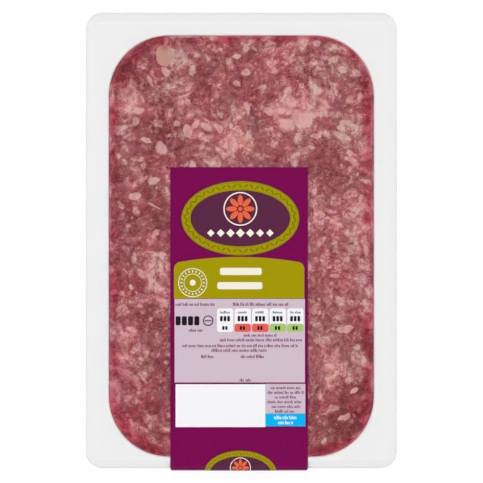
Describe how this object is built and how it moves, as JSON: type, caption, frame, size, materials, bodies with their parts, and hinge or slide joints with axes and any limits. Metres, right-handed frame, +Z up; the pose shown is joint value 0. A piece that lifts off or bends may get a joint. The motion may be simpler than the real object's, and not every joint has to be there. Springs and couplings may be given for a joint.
{
  "type": "meat tray pack",
  "caption": "Shallow rectangular plastic tray with a wide flange, filled with raw mince under a clear sealed film, with a printed label that folds down over the front edge.",
  "frame": {"origin": "under the middle of the whole pack, on the plane that the tray's flat base rests on", "axes": "+Z up out of the lid film, +Y towards the back, away from the edge that the label folds over, +X to the right seen from the front"},
  "size_m": [0.155, 0.2282, 0.0237],
  "materials": {
    "tray": "satin white moulded plastic",
    "mince": "moist raw mince, dusty rose red with pale fat",
    "film": "clear glossy film",
    "label": "semi-gloss printed plastic label, mostly purple"
  },
  "bodies": {
    "root": {"tray": "tray", "mince": "mince", "film": "film", "label": "label"}
  },
  "joints": []
}
